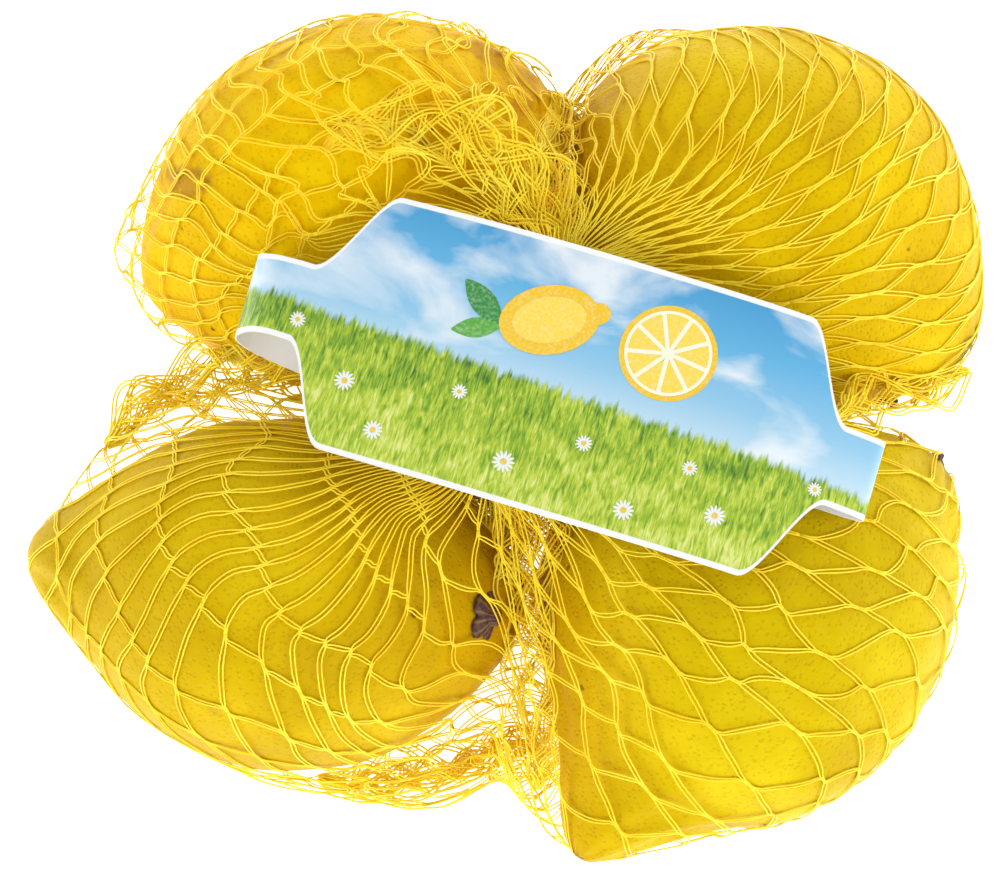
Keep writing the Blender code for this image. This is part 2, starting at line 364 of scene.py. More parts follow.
def calyx_finish():
    """Dry calyx: dull dark brown, paler in stripes that run out from the stalk."""
    material, tree, shader = new_finish("dry_calyx", Roughness=0.75, IOR=1.4, Specular_IOR_Level=0.2)
    where = add_node(tree, "ShaderNodeTexCoord", out="Object")
    mixed = reckon(tree, "MULTIPLY_ADD", noise(tree, where, 0.8, 3.0), 0.7, carried(tree, "stripe"))
    tint = tints(tree, mixed, (0.2, "#33222A"), (0.5, "#5E4148"), (0.85, "#8B7448"))
    finish_with(shader, tint, mixed, 0.8, 0.2)
    return material


dry_calyx = calyx_finish()
for name, calyx in CALYXES.items():
    # A calyx sits on the stem end, or a little off it, and faces straight out of the peel there.
    axis, side, top = lemon_axes(**LEMONS[name])
    out = math.cos(calyx["turned"]) * side + math.sin(calyx["turned"]) * top
    end = lemon_form(np.array(math.pi - calyx["offset"]), np.array(calyx["turned"]), **LEMONS[name])
    axis = axis * math.cos(0.8 * calyx["offset"]) - out * math.sin(0.8 * calyx["offset"])
    side = unit(np.cross(axis, top))
    top = np.cross(side, axis)
    share = np.linspace(0.02, 1, CALYX_RINGS)[:, None]
    turn = np.linspace(0, 2 * math.pi, CALYX_SIDES, endpoint=False)[None, :]
    lobes = 0.66 + 0.34 * np.abs(np.cos(2.5 * turn)) ** 0.8
    radius = calyx["size"] * share * (1 + (lobes - 1) * share**2)
    stump = 0.9 * np.clip((0.34 - share) / 0.06, 0, 1)
    rise = 0.75 - 1.3 * share**2 + stump + 0.12 * np.cos(10 * turn) * share
    form = end + span((axis, side, top), -rise, radius * np.cos(turn), radius * np.sin(turn))
    under = form[::-1] + CALYX_THICKNESS * axis
    mesh = closed_mesh("calyx_" + name, np.concatenate([form, under]))
    stripes = 0.15 + 0.35 * np.clip(np.cos(15 * turn), 0, 1) + 0 * share
    set_values(mesh, "stripe", np.concatenate([stripes, stripes]))
    add_piece("calyx_" + name, mesh, dry_calyx, "net")


# The net: yellow polyethylene thread, knitted by machine into chains that run from the gathered neck over
# the fruit, and links that tie each chain to the next. Each half of the pack is one bag of it, drawn over
# two lemons. The bag is worked out as a taut skin first, and the threads are then laid on that skin.
# Each bag has its two lemons, the side that its columns start from, the middles and half widths of its neck
# and its closed end, the places that it is drawn to, the places x, y, z where it stands off by a height
# within a radius, and those where it is pulled about by a reach within a radius.
BAGS = {
    "back": dict(
        lemons=("back_left", "back_right"), right=1, neck=(9.0, 21.5, 53.5), end=(9.3, 58.5, 16.0),
        neck_half=(9.0, 3.0), end_half=(3.5, 2.5), end_across=(1.0, 0.0, 0.0), end_up=(0.0, 0.7, 0.7),
        drawn_to=dict(
            both=[(6, 22, 55), (13, 21, 54), (7, 23, 45), (9, 58, 30), (9, 60, 16)],
            back_left=[(-61.5, 36, 33), (-62.5, 34, 24), (-57, 23, 20)],
            back_right=[(15, 66, 22), (20.5, 70, 26), (28, 71.4, 27), (72.6, 5.6, 27), (73.4, 10, 33)],
        ),
        lifts=[
            (14, 68, 26, 7, 2.6), (21, 74, 26, 7, 3.4), (30, 76, 26, 8, 3.2), (42, 77, 26, 9, 1.6),
            (-62, 34, 26, 9, 3.2), (-57, 47, 26, 8, 1.8), (-53, 20, 24, 8, 2.6), (-49, 64, 26, 8, 1.6),
            (1, 70, 26, 7, 1.8), (75, 10, 22, 6, 2.6), (3, 38, 52, 9, 2.6), (-12, 42, 56, 10, 1.2),
        ],
        loose=[(-28, 40, 54, 21, 2.2), (-8, 40, 52, 18, 3.0), (4, 55, 36, 13, 1.8), (-14, 60, 42, 13, 1.2)],
    ),
    "front": dict(
        lemons=("front_left", "front_right"), right=-1, neck=(0.5, -8.5, 53.0), end=(20.0, -36.0, 0.9),
        neck_half=(8.0, 3.0), end_half=(13.0, 9.0), end_across=(0.9, -0.4, 0.0), end_up=(-0.4, -0.9, 0.0),
        drawn_to=dict(
            both=[(-4, -9, 54), (5, -11, 54), (-2, -8, 45)],
            front_left=[
                (-59, 6, 22), (-48, 13, 26), (-35, -53.5, 5), (-24, -54.5, 3), (-8, -56, 2), (-1, -51, 2),
            ],
            front_right=[(8.5, -62.5, 16), (9, -58, 3), (1, -51.5, 3), (0, -50, 7)],
        ),
        lifts=[
            (-72, -7, 22, 7, 1.8), (-66, 2, 22, 8, 3.0), (-58, 11, 22, 9, 3.4), (-48, 15, 24, 9, 2.6),
            (-44, -51, 8, 9, 1.2), (-8, -57, 8, 7, 1.8), (14, -64, 10, 8, 1.6), (74, -26, 26, 9, 1.2),
            (72, -3, 26, 7, 1.6),
        ],
        loose=[(0, -38, 24, 16, 2.6), (-16, -50, 16, 13, 1.6), (68, 0, 34, 12, 1.4), (-52, 10, 30, 12, 1.0)],
    ),
}
SKIN_ROWS, SKIN_COLUMNS, SKIN_GAP, SKIN_ROUNDS = 90, 140, 0.30, 2
VALLEY_ROUNDS = 8
# The stitch over each lemon: how far apart chains lie, how far apart links lie on a chain, how far out each
# link comes down on its next chain (a share of that), and how slack the threads are, all in millimetres.
STITCH = {
    "back_left": dict(spacing=4.3, pitch=8.0, lean=0.25, slack=1.4),
    "back_right": dict(spacing=5.3, pitch=11.6, lean=0.88, slack=1.3),
    "front_left": dict(spacing=5.4, pitch=12.5, lean=0.0, slack=1.8),
    "front_right": dict(spacing=7.2, pitch=10.2, lean=0.88, slack=1.7),
}
THREAD_RADIUS, THREAD_SIDES = 0.125, 5
PAIR_OPEN, PAIR_SHUT, KNOT_LENGTH = 0.31, 0.12, 1.6
CHAIN_SAMPLES, LINK_SAMPLES = 120, 11
KINK, KINK_LENGTH, LINK_LEAD = 0.352, 2.6, 0.35
WANDER_ACROSS, WANDER_ALONG, LOOSE_WAVE = 26, 21, 12.0
CLEAR_OF_NECK, CLEAR_OF_END, SEAM_WIDTH, LED_SHARE = 4, 3, 7, 0.07
TOUCHING_PLANES, GOLDEN_ANGLE = 1500, 2.399963


def lemon_surface(name, points):
    """For points near a lemon: how high each is over its swollen skin, and the way straight out. The profile
    is looked up by the angle at which the point is seen from the lemon's middle."""
    lemon = LEMONS[name]
    angle = np.linspace(0, math.pi, 400)
    along, girth = lemon_profile(angle, **lemon)
    facing = np.stack([np.gradient(girth), -np.gradient(along)])
    facing /= np.linalg.norm(facing, axis=0)
    seen = np.arctan2(girth, along)
    axis, side, top = lemon_axes(**lemon)
    offset = points - np.array(lemon["centre"])
    x = offset @ axis
    bowed = lemon["bow"] / lemon["radius"] * np.interp(x, along[::-1], girth[::-1], left=0, right=0)
    aside, up = (offset @ side - bowed) / (1 + lemon["wide"]), offset @ top
    r = np.hypot(aside, up)
    out = unit(span((side, top), aside, up))
    view = np.arctan2(r, x)
    at = np.interp(view, seen, angle)
    way = [np.interp(view, seen, part) for part in facing]
    normal = span((axis, out), *way)
    distance = np.hypot(x, r)
    cosine = (way[0] * x + way[1] * r) / np.maximum(distance, 1e-6)
    height = (distance - np.interp(view, seen, np.hypot(along, girth))) * cosine
    close = height < 2.0
    turn = np.arctan2(out @ top, out @ side)
    height[close] -= lemon_swell(name, at[close], turn[close])
    return height, normal


def keep_out(points, lemons, gap):
    """Moves points straight out of the lemons until each is this far from their skins, and off the table."""
    for name in lemons:
        height, normal = lemon_surface(name, points)
        points = points + np.clip(gap - height, 0, None)[..., None] * normal
    points[..., 2] = np.maximum(points[..., 2], gap)
    return points


def taut_reach(start, ways, points):
    """How far rays run from a start before they leave the taut hull of these points: the least distance to
    any of many planes that touch the points. A ray that misses the hull gets 0."""
    count = np.arange(TOUCHING_PLANES)
    height = 1 - (2 * count + 1) / TOUCHING_PLANES
    flat = np.sqrt(1 - height**2)
    turn = count * GOLDEN_ANGLE
    planes = np.stack([flat * np.cos(turn), flat * np.sin(turn), height])
    facing = ways @ planes
    share = ((points @ planes).max(0) - start @ planes) / np.where(np.abs(facing) < 1e-4, 1e-4, facing)
    leaving = np.where(facing > 1e-4, share, np.inf).min(-1)
    entering = np.where(facing < -1e-4, share, -np.inf).max(-1)
    return np.where(leaving > np.maximum(entering, 0), leaving, 0)


def bag_skin(lemons, right, neck, end, neck_half, end_half, end_across, end_up, drawn_to, lifts, loose):
    """The taut skin of one bag, rows from its neck to its end by columns round it. Rays fan out from the
    line between neck and end to the hull of each lemon with the places that the net is drawn to. The first
    and last rows are led into the gathered neck and the closed end, and all is smoothed over the lemons."""
    neck, end = np.array(neck), np.array(end)
    axis = unit(end - neck)
    across = np.array([right, 0.0, 0.0])
    across = unit(across - axis * (across @ axis))
    up = np.cross(axis, across)
    up *= math.copysign(1, up[2])
    share = np.linspace(0, 1, SKIN_ROWS)
    turn = np.linspace(0, 2 * math.pi, SKIN_COLUMNS, endpoint=False)[:, None]
    round_way = np.cos(turn) * across + np.sin(turn) * up

    angle, side_turn = np.meshgrid(np.linspace(0, math.pi, 60), np.linspace(0, 2 * math.pi, 60))
    covers = [lemon_form(angle, side_turn, SKIN_GAP, **LEMONS[name]) for name in lemons]
    hulls = [
        np.concatenate([cover.reshape(-1, 3), drawn_to[name], drawn_to["both"]])
        for name, cover in zip(lemons, covers)
    ]
    starts = neck + (end - neck) * (0.10 + 0.80 * share)[:, None, None]
    fan = math.pi * (0.10 + 0.82 * share)[:, None, None]
    ways = round_way * np.sin(fan) - axis * np.cos(fan)
    reach = np.array([
        np.max([taut_reach(start, way, hull) for hull in hulls], axis=0) for start, way in zip(starts, ways)
    ])
    # Where one hull meets the other, the net spans the valley: each ray reaches at least the mean of its
    # neighbours. The corners that the net is drawn to stay.
    for _ in range(VALLEY_ROUNDS):
        mean = np.pad(reach, ((1, 1), (0, 0)), mode="edge")
        mean = (mean[2:] + mean[:-2] + np.roll(reach, 1, 1) + np.roll(reach, -1, 1)) / 4
        reach = np.maximum(reach, mean)
    skin = starts + ways * reach[..., None]

    neck_ring = neck + neck_half[0] * np.cos(turn) * across + neck_half[1] * np.sin(turn) * up
    end_ring = end + end_half[0] * right * np.cos(turn) * end_across + end_half[1] * np.sin(turn) * end_up
    for ring, away in ((neck_ring, share), (end_ring, 1 - share)):
        skin = skin + (ring - skin) * (np.clip(1 - away / LED_SHARE, 0, 1) ** 1.5)[:, None, None]
    for _ in range(SKIN_ROUNDS):
        mean = (np.roll(skin, 1, 1) + np.roll(skin, -1, 1))[1:-1] + skin[:-2] + skin[2:]
        skin[1:-1] += 0.6 * (mean / 4 - skin[1:-1])
        skin = keep_out(skin, lemons, SKIN_GAP)
    outwards = unit(skin - skin.mean((0, 1)))
    for *spot, radius, height in lifts:
        away = np.linalg.norm(skin - spot, axis=-1, keepdims=True)
        skin = skin + height * bell(away, radius) * outwards
    skin[..., 2] = np.maximum(skin[..., 2], SKIN_GAP)
    return even_rows(np.concatenate([skin, [end + (skin[-1] - end) * part for part in (0.75, 0.5, 0.25)]]))


def even_rows(skin):
    """The same skin with the rows of each column evenly spaced along it, and each column's length."""
    step = np.linalg.norm(np.diff(skin, axis=0), axis=-1)
    travelled = np.concatenate([np.zeros((1, SKIN_COLUMNS)), np.cumsum(step, axis=0)])
    even = np.empty((SKIN_ROWS, SKIN_COLUMNS, 3))
    for column, part in np.ndindex(SKIN_COLUMNS, 3):
        wanted = np.linspace(0, 1, SKIN_ROWS) * travelled[-1, column]
        even[:, column, part] = np.interp(wanted, travelled[:, column], skin[:, column, part])
    return even, travelled[-1]


def on_skin(field, column, share):
    """A field of the skin's grid at any column and any share of the way along it, by bilinear blend."""
    row = np.clip(share, 0, 1) * (len(field) - 1)
    low_row = np.minimum(np.floor(row).astype(int), len(field) - 2)
    low_column = np.floor(column).astype(int)
    part_row, part_column = (row - low_row)[..., None], (column - low_column)[..., None]
    here, there = low_column % SKIN_COLUMNS, (low_column + 1) % SKIN_COLUMNS
    lower = field[low_row, here] * (1 - part_column) + field[low_row, there] * part_column
    upper = field[low_row + 1, here] * (1 - part_column) + field[low_row + 1, there] * part_column
    return lower * (1 - part_row) + upper * part_row


def smooth_step(share):
    """A share from 0 to 1 that starts and ends level."""
    share = np.clip(share, 0, 1)
    return share * share * (3 - 2 * share)


def lay_net(bag, skin, lengths, seed):
    """Lays the threads of one bag on its skin. Chains keep to columns that are spaced by the stitch of the
    lemon that they cross, and each link leaves a chain outwards and joins the next further out."""
    left_name, right_name = BAGS[bag]["lemons"]
    middle = skin[SKIN_ROWS // 2]
    half = (LEMONS[left_name]["centre"][0] + LEMONS[right_name]["centre"][0]) / 2
    to_right = 1 / (1 + np.exp(-(middle[:, 0] - half) / SEAM_WIDTH))

    def stitch(key):
        return STITCH[left_name][key] * (1 - to_right) + STITCH[right_name][key] * to_right

    girth = np.linalg.norm(np.roll(skin, -1, 1) - skin, axis=-1)
    girth = girth[SKIN_ROWS // 3 : 2 * SKIN_ROWS // 3].mean(0)
    chains_up_to = np.concatenate([[0], np.cumsum(girth / stitch("spacing"))])
    count = int(round(chains_up_to[-1]))
    chains_wanted = np.arange(count) * chains_up_to[-1] / count
    chain_column = np.interp(chains_wanted, chains_up_to, np.arange(SKIN_COLUMNS + 1))

    def of_chain(values):
        return np.interp(chain_column, np.arange(SKIN_COLUMNS + 1), np.append(values, values[0]))

    pitch, lean, slack = (of_chain(stitch(key)) for key in ("pitch", "lean", "slack"))
    length = of_chain(lengths)
    shift = np.concatenate([[0], np.cumsum(lean)])
    whole = int(round(shift[-1]))
    shift = shift[:-1] * (whole / shift[-1] if shift[-1] > 0.5 else 0)

    tangent_row, tangent_column = np.gradient(skin, axis=0), np.roll(skin, -1, 1) - np.roll(skin, 1, 1)
    normals = unit(np.cross(tangent_column, tangent_row))
    normals *= np.sign((normals * (skin - skin.mean((0, 1)))).sum(-1).mean())
    mm_per_column = np.linalg.norm(tangent_column, axis=-1)[..., None] / 2

    def thread_path(column, travel, chain_length, slack_here):
        """Where a point of the net lies, after the random pull that it shares with its neighbours."""
        share = travel / chain_length
        spot = on_skin(skin, column, share)
        wander = np.clip(np.minimum(share, 1 - share) * 6, 0, 1) * slack_here
        width = np.maximum(on_skin(mm_per_column, column, share)[..., 0], 0.25)
        narrow = np.clip(width / 1.5, 0.1, 1) / width
        column = column + wander * soft_noise(spot, WANDER_ACROSS, seed) * narrow
        travel = travel + wander * 1.1 * soft_noise(spot, WANDER_ALONG, seed + 1)
        play = 0 * wander
        for *middle, radius, reach in BAGS[bag]["loose"]:
            play = play + reach * bell(np.linalg.norm(spot - middle, axis=-1), radius)
        column = column + play * soft_noise(spot, LOOSE_WAVE, seed + 2) * narrow
        travel = travel + play * soft_noise(spot, LOOSE_WAVE * 0.9, seed + 3)
        share = travel / chain_length
        rise = 0.35 * play * (1 + soft_noise(spot, LOOSE_WAVE * 0.7, seed + 4))
        normal = unit(on_skin(normals, column, share))
        return on_skin(skin, column, share) + rise[..., None] * normal, normal

    # Chains. Between two links a chain bows a little to one side and then to the other.
    travel = np.linspace(0, 1, CHAIN_SAMPLES)[None, :] * length[:, None]
    stitches = travel / pitch[:, None] - shift[:, None]
    phase = stitches - np.round(stitches)
    kink = KINK * np.sin(2 * math.pi * phase) * bell(phase * pitch[:, None], KINK_LENGTH)
    here = chain_column[:, None] + 0 * travel
    width = np.maximum(on_skin(mm_per_column, here, travel / length[:, None])[..., 0], 0.3)
    column = here + kink / width * np.clip(width / 1.5, 0.2, 1)
    near_knot = np.exp(-((phase * pitch[:, None] / KNOT_LENGTH) ** 4))
    chains = (*thread_path(column, travel, length[:, None], slack[:, None]), near_knot)

    # Links, from each knot of a chain to the knot of the next chain that is one lean further out.
    most = int(length.max() / pitch.min()) + 2
    chain, stitch_number = np.meshgrid(np.arange(count), np.arange(-1, most), indexing="ij")
    following = (chain + 1) % count
    step_out = shift[following] - shift[chain] + np.where((following == 0) & shift.any(), whole, 0)
    start_stitch = stitch_number + shift[chain] % 1
    start, finish = start_stitch * pitch[chain], (start_stitch + step_out) * pitch[following]
    last_start, last_finish = length[chain] - CLEAR_OF_END, length[following] - CLEAR_OF_END
    here = (np.minimum(start, finish) > CLEAR_OF_NECK) & (start < last_start) & (finish < last_finish)
    chain, start, finish, following = (v[here] for v in (chain, start, finish, following))
    first = chain_column[chain]
    last = np.where(following == 0, chain_column[0] + SKIN_COLUMNS, chain_column[following])
    share = np.linspace(0, 1, LINK_SAMPLES)[None, :]
    # A link runs along with its chain for a little at each end.
    lead = np.sin(math.pi * np.clip(share * 3, 0, 1)) - np.sin(math.pi * np.clip(3 - share * 3, 0, 1))
    travel = start[:, None] + (finish - start)[:, None] * share + LINK_LEAD * lead
    column = first[:, None] + (last - first)[:, None] * smooth_step(share)
    chain_length = length[chain][:, None] * (1 - share) + length[following][:, None] * share
    slack_here = slack[chain][:, None] * (1 - share) + slack[following][:, None] * share
    near_knot = bell(share, 1 / 3.2) + bell(1 - share, 1 / 3.2) + 0 * travel
    return chains, (*thread_path(column, travel, chain_length, slack_here), near_knot)


def thread_mesh(name, lemons, path, normal, near_knot, thick=1.0):
    """Each path as a pair of round threads, which run side by side, open between knots and shut at them."""
    side = unit(np.cross(normal, unit(np.gradient(path, axis=1))))
    apart = PAIR_OPEN + (PAIR_SHUT - PAIR_OPEN) * np.clip(near_knot, 0, 1)
    centre = np.concatenate([path + side * apart[..., None], path - side * apart[..., None]])
    centre = keep_out(centre, lemons, 0.8 * THREAD_RADIUS)
    radius = np.tile(thick * THREAD_RADIUS * (1 + 0.25 * np.clip(near_knot, 0, 1)), (2, 1))
    heading = unit(np.gradient(centre, axis=1))
    side = unit(np.cross(np.tile(normal, (2, 1, 1)), heading))
    out = np.cross(heading, side)
    turn = np.linspace(0, 2 * math.pi, THREAD_SIDES, endpoint=False)[:, None]
    ring = np.cos(turn) * side[..., None, :] + np.sin(turn) * out[..., None, :]
    points = centre[..., None, :] + radius[..., None, None] * ring
    index = np.arange(points.size // 3).reshape(points.shape[:3])
    caps = index[:, 0].tolist() + index[:, -1, ::-1].tolist()
    index = np.concatenate([index, index[..., :1]], axis=-1)
    return new_mesh(name, points, grid_quads(index.swapaxes(1, 2)) + caps)


def thread_finish():
    """Knitted polyethylene thread: smooth plastic of a strong warm yellow, uneven in its fibres."""
    material, tree, shader = new_finish(
        "yellow_polyethylene_thread", Roughness=0.42, IOR=1.5, Specular_IOR_Level=0.25,
    )
    where = add_node(tree, "ShaderNodeTexCoord", out="Object")
    tint = tints(tree, noise(tree, where, 9, 3.0), (0.32, "#FFD61A"), (0.5, "#FFE22C"), (0.7, "#FFEC46"))
    finish_with(shader, tint, noise(tree, where, 0.5, 2.0), 0.5, 0.05)
    return material


thread = thread_finish()
for bag, form in BAGS.items():
    skin, lengths = bag_skin(**form)
    chains, links = lay_net(bag, skin, lengths, len(bag))
    for kind, lines in (("chains", chains), ("links", links)):
        for part, some in enumerate(np.array_split(np.arange(len(lines[0])), 3), 1):
            piece = f"net_{bag}_{kind}_{part}"
            mesh = thread_mesh(piece, form["lemons"], *(line[some] for line in lines))
            add_piece(piece, mesh, thread, "net")


# The loose netting: folds of the same net that lie slack and bunched between the lemons, where it leaves the
# band. Each is a bundle of strands that wander along a line, tied to one another by short links.
BUNCHES = {
    "neck": dict(
        line=[(10, 27, 52), (8, 18, 52), (6, 8, 51), (3, -3, 50), (1, -12, 51), (1, -17, 50)],
        spread=(8.5, 2.0), strands=44, links=70, seed=3,
    ),
    "under_neck": dict(
        line=[(9, 30, 36), (8, 20, 38), (5, 8, 36), (2, -4, 36), (0, -14, 38), (0, -22, 34)],
        spread=(10.0, 4.0), strands=40, links=80, seed=31,
    ),
    "back": dict(
        line=[(9.5, 19, 52), (9, 27, 50), (7.5, 36, 47), (7, 45, 42), (8.5, 54, 35), (10, 62, 27)],
        spread=(4.2, 2.4), strands=22, links=60, seed=4,
    ),
    "back_top": dict(
        line=[(10, 24, 54), (4, 31, 57), (-3, 38, 58), (-11, 43, 58), (-19, 42, 58), (-27, 38, 57)],
        spread=(7.0, 0.9), strands=10, links=36, seed=9,
    ),
    "front": dict(
        line=[(1, -10, 50), (2.5, -16, 47), (4.5, -25, 42), (6, -34, 35), (7, -44, 24), (6, -54, 10)],
        spread=(4.6, 1.6), strands=13, links=26, seed=12,
    ),
    "front_low": dict(
        line=[(-30, -52, 8), (-22, -53, 8), (-13, -52, 9), (-4, -49, 9), (3, -47, 10), (8, -52, 8)],
        spread=(4.0, 3.0), strands=9, links=30, seed=15,
    ),
    "left": dict(
        line=[(-16, 6, 44), (-28, 8, 40), (-39, 10, 34), (-49, 11, 29), (-57, 8, 25), (-65, 1, 22)],
        spread=(4.4, 3.0), strands=13, links=40, seed=21,
    ),
    "right": dict(
        line=[(50, -3, 49), (56, 1, 44), (62, 4, 39), (67, 6, 34), (72, 9, 30), (77, 12, 28)],
        spread=(3.4, 2.0), strands=9, links=22, seed=25,
    ),
}
LOOSE_THICKNESS = 1.35
BUNCH_SAMPLES = 70


def loose_strands(line, spread, strands, links, seed):
    """The strands of a bunch and the links between them, as paths with the way out of the bunch. Each strand
    keeps its own place across the line and strays from it in soft waves of 14 to 34 mm, and all draw
    together at the two ends."""
    draw = np.random.default_rng(seed)
    line = np.array(line, float)
    share = np.linspace(0, len(line) - 1, BUNCH_SAMPLES)
    course = np.stack([np.interp(share, np.arange(len(line)), line[:, part]) for part in range(3)], -1)
    for _ in range(40):
        course[1:-1] += 0.5 * ((course[2:] + course[:-2]) / 2 - course[1:-1])
    heading = unit(np.gradient(course, axis=0))
    side = unit(np.cross(heading, [0, 0, 1.0]))
    up = np.cross(side, heading)
    travelled = np.concatenate([[0], np.cumsum(np.linalg.norm(np.diff(course, axis=0), axis=1))])

    def waves(count):
        size, start = draw.uniform(14, 34, (3, count, 1)), draw.uniform(0, 2 * math.pi, (3, count, 1))
        return np.sin(2 * math.pi * travelled / size + start).sum(0) / 1.8

    place_across, place_up = draw.uniform(-1, 1, (2, strands, 1))
    from_end = np.minimum(travelled, travelled[-1] - travelled) / travelled[-1]
    open_by = np.clip(0.06 + 5 * from_end, 0, 1)
    aside = open_by * spread[0] * (0.7 * place_across + 0.6 * waves(strands))
    above = open_by * spread[1] * (0.7 * place_up + 0.6 * waves(strands))
    path = course + span((side, up), aside, above)

    first, second = draw.integers(0, strands, (2, links))
    start = draw.integers(2, BUNCH_SAMPLES - 14, links)
    finish = start + draw.integers(2, 12, links)
    share = np.linspace(0, 1, LINK_SAMPLES)[None, :, None]
    bow = draw.normal(0, 0.9, (links, 1, 3)) * np.sin(math.pi * share)
    tied = path[first, start][:, None] * (1 - share) + path[second, finish][:, None] * share + bow
    way_out = 0 * tied + up[start][:, None]
    return (path, 0 * path + up, 0 * path[..., 0]), (tied, way_out, 0 * tied[..., 0])


for bunch, form in BUNCHES.items():
    for kind, lines in zip(("strands", "links"), loose_strands(**form)):
        mesh = thread_mesh(f"loose_{bunch}_{kind}", LEMONS, *lines, thick=LOOSE_THICKNESS)
        add_piece(f"loose_{bunch}_{kind}", mesh, thread, "net")


# The band: one strip of printed plastic film, welded into a flat loop round the gathered net. Its front is
# a wide plate with S-shaped shoulders to a narrow strap, which folds under at each end and returns below.
BAND_MIDDLE = (9.0, 0.0)
BAND_TURN = -17.5
BAND_OUTER, BAND_INNER = 0.4, 0.1
PLATE_HALF_WIDTH = 20.7
STRAP_HALF_WIDTH = 6.3
SHOULDER_STARTS = (31.0, 33.4)
SHOULDER_ENDS = (41.0, 43.2)
EDGE_LIFT = 1.6
STRAP_SHIFT = 1.0
STRAP_TILT = 3.4
BAND_LOOP = [
    (-50.2, 51.6), (-49.0, 55.4), (-44.5, 58.2), (-34, 59.8), (-15, 60.8), (8, 61.2),
    (28, 61.2), (39, 60.2), (46.4, 58.6), (48.6, 57.7), (47.2, 56.9), (40, 57.0),
    (28, 56.0), (14, 50.8), (-4, 45.0), (-22, 45.3), (-36.5, 46.0), (-45.6, 47.8),
]
BAND_STEPS, BAND_ACROSS, PLATE_ABOVE = 22, 27, 57


def closed_spline(knots, steps):
    """A Catmull-Rom curve through the knots of a closed loop, with this many points from knot to knot."""
    knots = np.array(knots, float)
    before, after, later = np.roll(knots, 1, 0), np.roll(knots, -1, 0), np.roll(knots, -2, 0)
    share = np.linspace(0, 1, steps, endpoint=False)[None, :, None]
    k0, k1, k2, k3 = (k[:, None, :] for k in (before, knots, after, later))
    curve = 0.5 * (
        2 * k1
        + (k2 - k0) * share
        + (2 * k0 - 5 * k1 + 4 * k2 - k3) * share**2
        + (3 * k1 - k0 - 3 * k2 + k3) * share**3
    )
    return curve.reshape(-1, 2)


def band_half_width(distance):
    """Half the band's width at a distance along it from its middle: plate, S-shaped shoulder, strap."""
    start, end = (np.where(distance < 0, *ends) for ends in (SHOULDER_STARTS, SHOULDER_ENDS))
    done = smooth_step((np.abs(distance) - start) / (end - start))
    return PLATE_HALF_WIDTH + (STRAP_HALF_WIDTH - PLATE_HALF_WIDTH) * done


def band_points(loop, outward, distance, side, layer):
    """Points of the band, where side runs from -1 to 1 across it and layer is how far they stand off its
    loop. The plate's back edge is lifted, and the part that returns below is shifted and tilted."""
    shift = STRAP_SHIFT * smooth_step((-loop[:, :1] - 30) / 18)
    returning = np.clip((58 - loop[:, 1:]) / 8, 0, 1) * np.clip((-loop[:, :1] - 12) / 20, 0, 1)
    on_top = np.clip(1 - (distance / 40) ** 2, 0, 1)[:, None]
    yaw = math.radians(BAND_TURN)
    along = np.array([math.cos(yaw), math.sin(yaw)])
    across = np.array([-math.sin(yaw), math.cos(yaw)])
    width = side * band_half_width(distance)[:, None]
    lift = EDGE_LIFT * np.clip(width / PLATE_HALF_WIDTH, 0, 1) ** 2 * on_top
    tilt = STRAP_TILT * returning * width / STRAP_HALF_WIDTH
    spot_along = loop[:, :1] + outward[:, :1] * layer
    spot_up = loop[:, 1:] + outward[:, 1:] * layer + lift + tilt
    flat = BAND_MIDDLE + span((along, across), spot_along, width + shift)
    return np.concatenate([flat, spot_up[..., None]], axis=-1), width


loop = closed_spline(BAND_LOOP, BAND_STEPS)
step = np.linalg.norm(np.roll(loop, -1, 0) - loop, axis=1)
length = step.sum()
distance = np.concatenate([[0], np.cumsum(step)[:-1]])
plate_middle = distance[np.argmin(np.where(loop[:, 1] > PLATE_ABOVE, np.abs(loop[:, 0]), np.inf))]
distance = (distance - plate_middle + length / 2) % length - length / 2
heading = unit(np.roll(loop, -1, 0) - np.roll(loop, 1, 0))
outward = np.stack([-heading[:, 1], heading[:, 0]], axis=1)
sides = np.linspace(-1, 1, BAND_ACROSS)
sides = np.concatenate([sides, sides[::-1]])[None, :]
layers = np.repeat([BAND_OUTER, BAND_INNER], BAND_ACROSS)[None, :]
points, width = band_points(loop, outward, distance, sides, layers)
index = np.pad(np.arange(width.size).reshape(width.shape), ((0, 1), (0, 1)), mode="wrap")
band_mesh = new_mesh("label_band_film", points, grid_quads(index.T))
band_mesh.set_sharp_from_angle(angle=math.radians(50))
set_values(band_mesh, "along", distance[:, None] + 0 * width)
set_values(band_mesh, "across", width)
set_values(band_mesh, "to_edge", band_half_width(distance)[:, None] - np.abs(width))
set_values(band_mesh, "printed", (layers == BAND_OUTER) + 0 * width)


